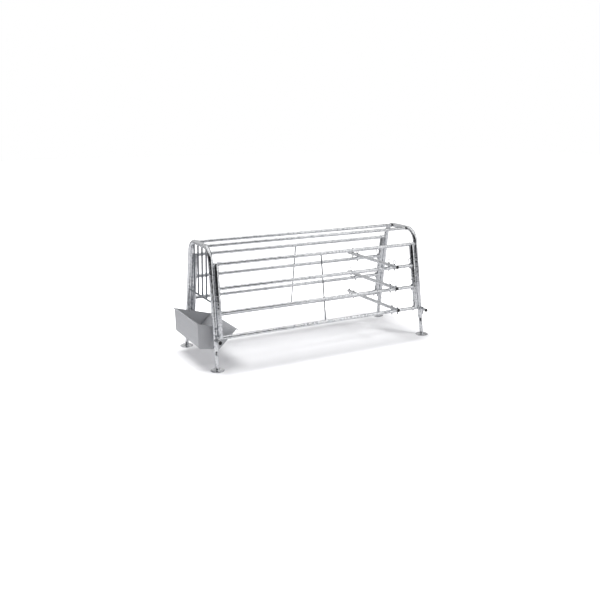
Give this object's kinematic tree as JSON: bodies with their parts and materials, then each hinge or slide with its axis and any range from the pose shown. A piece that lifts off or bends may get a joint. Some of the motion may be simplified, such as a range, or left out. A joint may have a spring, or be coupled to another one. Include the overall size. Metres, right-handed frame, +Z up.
{
  "type": "farrowing crate with sow feeding trough",
  "caption": "Welded tube crate on four adjustable feet that holds a sow between side rails, with a folded sheet feeding trough bolted between its front legs.",
  "frame": {"origin": "on the floor, under the middle of the crate's bounding box", "axes": "+X along the crate from the trough to the rear arch, +Y to the far side, +Z up"},
  "size_m": [2.415, 0.911, 1.0647],
  "materials": {
    "galvanised_tube": "hot-dip galvanised, smooth and fairly bright",
    "stainless_sheet": "satin rolled sheet",
    "zinc_plate": "zinc plated wire, rod and fasteners",
    "black_plastic": "moulded black plastic plug"
  },
  "bodies": {
    "crate": {"front_arch": "galvanised_tube", "lock_screw_front_near": "zinc_plate", "post_front_near": "galvanised_tube", "lock_screw_front_far": "zinc_plate", "post_front_far": "galvanised_tube", "rear_arch": "galvanised_tube", "lock_screw_rear_near": "zinc_plate", "post_rear_near": "galvanised_tube", "lock_screw_rear_far": "zinc_plate", "post_rear_far": "galvanised_tube", "rail_bottom_near": "galvanised_tube", "rail_lower_near": "galvanised_tube", "rail_upper_near": "galvanised_tube", "rail_top_near": "galvanised_tube", "tie_rod_near": "galvanised_tube", "top_tube_near": "galvanised_tube", "trough_bolt_upper_near": "zinc_plate", "trough_bolt_lower_near": "zinc_plate", "rail_bottom_far": "galvanised_tube", "rail_lower_far": "galvanised_tube", "rail_upper_far": "galvanised_tube", "rail_top_far": "galvanised_tube", "tie_rod_far": "galvanised_tube", "top_tube_far": "galvanised_tube", "trough_bolt_upper_far": "zinc_plate", "trough_bolt_lower_far": "zinc_plate", "head_grille": "galvanised_tube", "trough": "stainless_sheet"},
    "foot_front_near": {"foot_front_near": "galvanised_tube"},
    "foot_front_far": {"foot_front_far": "galvanised_tube"},
    "foot_rear_near": {"foot_rear_near": "galvanised_tube"},
    "foot_rear_far": {"foot_rear_far": "galvanised_tube"},
    "retaining_bar_bottom": {"retaining_bar_bottom": "galvanised_tube", "bar_plug_bottom_near": "black_plastic", "bar_plug_bottom_far": "black_plastic"},
    "lock_pin_bottom_near": {"lock_pin_bottom_near": "zinc_plate"},
    "bar_pin_bottom_near": {"bar_pin_bottom_near": "zinc_plate"},
    "rail_pin_bottom_near": {"rail_pin_bottom_near": "zinc_plate"},
    "lock_pin_bottom_far": {"lock_pin_bottom_far": "zinc_plate"},
    "bar_pin_bottom_far": {"bar_pin_bottom_far": "zinc_plate"},
    "rail_pin_bottom_far": {"rail_pin_bottom_far": "zinc_plate"},
    "retaining_bar_lower": {"retaining_bar_lower": "galvanised_tube", "bar_plug_lower_near": "black_plastic", "bar_plug_lower_far": "black_plastic"},
    "lock_pin_lower_near": {"lock_pin_lower_near": "zinc_plate"},
    "bar_pin_lower_near": {"bar_pin_lower_near": "zinc_plate"},
    "rail_pin_lower_near": {"rail_pin_lower_near": "zinc_plate"},
    "lock_pin_lower_far": {"lock_pin_lower_far": "zinc_plate"},
    "bar_pin_lower_far": {"bar_pin_lower_far": "zinc_plate"},
    "rail_pin_lower_far": {"rail_pin_lower_far": "zinc_plate"},
    "retaining_bar_upper": {"retaining_bar_upper": "galvanised_tube", "bar_plug_upper_near": "black_plastic", "bar_plug_upper_far": "black_plastic"},
    "lock_pin_upper_near": {"lock_pin_upper_near": "zinc_plate"},
    "bar_pin_upper_near": {"bar_pin_upper_near": "zinc_plate"},
    "rail_pin_upper_near": {"rail_pin_upper_near": "zinc_plate"},
    "lock_pin_upper_far": {"lock_pin_upper_far": "zinc_plate"},
    "bar_pin_upper_far": {"bar_pin_upper_far": "zinc_plate"},
    "rail_pin_upper_far": {"rail_pin_upper_far": "zinc_plate"}
  },
  "joints": [
    {"name": "foot_front_near_slide", "type": "slide", "parent": "crate", "child": "foot_front_near", "axis": [0, 0.1483, 0.9889], "range_m": [0, 0.04]},
    {"name": "foot_front_far_slide", "type": "slide", "parent": "crate", "child": "foot_front_far", "axis": [0, -0.1483, 0.9889], "range_m": [0, 0.04]},
    {"name": "foot_rear_near_slide", "type": "slide", "parent": "crate", "child": "foot_rear_near", "axis": [0, 0.1483, 0.9889], "range_m": [0, 0.04]},
    {"name": "foot_rear_far_slide", "type": "slide", "parent": "crate", "child": "foot_rear_far", "axis": [0, -0.1483, 0.9889], "range_m": [0, 0.04]},
    {"name": "retaining_bar_bottom_lift", "type": "slide", "parent": "crate", "child": "retaining_bar_bottom", "axis": [0, 0, 1], "range_m": [0, 0.05]},
    {"name": "lock_pin_bottom_near_pull", "type": "slide", "parent": "retaining_bar_bottom", "child": "lock_pin_bottom_near", "axis": [0, 0, 1], "range_m": [0, 0.045]},
    {"name": "bar_pin_bottom_near_pull", "type": "slide", "parent": "retaining_bar_bottom", "child": "bar_pin_bottom_near", "axis": [0, 0, 1], "range_m": [0, 0.045]},
    {"name": "rail_pin_bottom_near_pull", "type": "slide", "parent": "crate", "child": "rail_pin_bottom_near", "axis": [0, 0, 1], "range_m": [0, 0.045]},
    {"name": "lock_pin_bottom_far_pull", "type": "slide", "parent": "retaining_bar_bottom", "child": "lock_pin_bottom_far", "axis": [0, 0, 1], "range_m": [0, 0.045]},
    {"name": "bar_pin_bottom_far_pull", "type": "slide", "parent": "retaining_bar_bottom", "child": "bar_pin_bottom_far", "axis": [0, 0, 1], "range_m": [0, 0.045]},
    {"name": "rail_pin_bottom_far_pull", "type": "slide", "parent": "crate", "child": "rail_pin_bottom_far", "axis": [0, 0, 1], "range_m": [0, 0.045]},
    {"name": "retaining_bar_lower_lift", "type": "slide", "parent": "crate", "child": "retaining_bar_lower", "axis": [0, 0, 1], "range_m": [0, 0.05]},
    {"name": "lock_pin_lower_near_pull", "type": "slide", "parent": "retaining_bar_lower", "child": "lock_pin_lower_near", "axis": [0, 0, 1], "range_m": [0, 0.045]},
    {"name": "bar_pin_lower_near_pull", "type": "slide", "parent": "retaining_bar_lower", "child": "bar_pin_lower_near", "axis": [0, 0, 1], "range_m": [0, 0.045]},
    {"name": "rail_pin_lower_near_pull", "type": "slide", "parent": "crate", "child": "rail_pin_lower_near", "axis": [0, 0, 1], "range_m": [0, 0.045]},
    {"name": "lock_pin_lower_far_pull", "type": "slide", "parent": "retaining_bar_lower", "child": "lock_pin_lower_far", "axis": [0, 0, 1], "range_m": [0, 0.045]},
    {"name": "bar_pin_lower_far_pull", "type": "slide", "parent": "retaining_bar_lower", "child": "bar_pin_lower_far", "axis": [0, 0, 1], "range_m": [0, 0.045]},
    {"name": "rail_pin_lower_far_pull", "type": "slide", "parent": "crate", "child": "rail_pin_lower_far", "axis": [0, 0, 1], "range_m": [0, 0.045]},
    {"name": "retaining_bar_upper_lift", "type": "slide", "parent": "crate", "child": "retaining_bar_upper", "axis": [0, 0, 1], "range_m": [0, 0.05]},
    {"name": "lock_pin_upper_near_pull", "type": "slide", "parent": "retaining_bar_upper", "child": "lock_pin_upper_near", "axis": [0, 0, 1], "range_m": [0, 0.045]},
    {"name": "bar_pin_upper_near_pull", "type": "slide", "parent": "retaining_bar_upper", "child": "bar_pin_upper_near", "axis": [0, 0, 1], "range_m": [0, 0.045]},
    {"name": "rail_pin_upper_near_pull", "type": "slide", "parent": "crate", "child": "rail_pin_upper_near", "axis": [0, 0, 1], "range_m": [0, 0.045]},
    {"name": "lock_pin_upper_far_pull", "type": "slide", "parent": "retaining_bar_upper", "child": "lock_pin_upper_far", "axis": [0, 0, 1], "range_m": [0, 0.045]},
    {"name": "bar_pin_upper_far_pull", "type": "slide", "parent": "retaining_bar_upper", "child": "bar_pin_upper_far", "axis": [0, 0, 1], "range_m": [0, 0.045]},
    {"name": "rail_pin_upper_far_pull", "type": "slide", "parent": "crate", "child": "rail_pin_upper_far", "axis": [0, 0, 1], "range_m": [0, 0.045]}
  ]
}
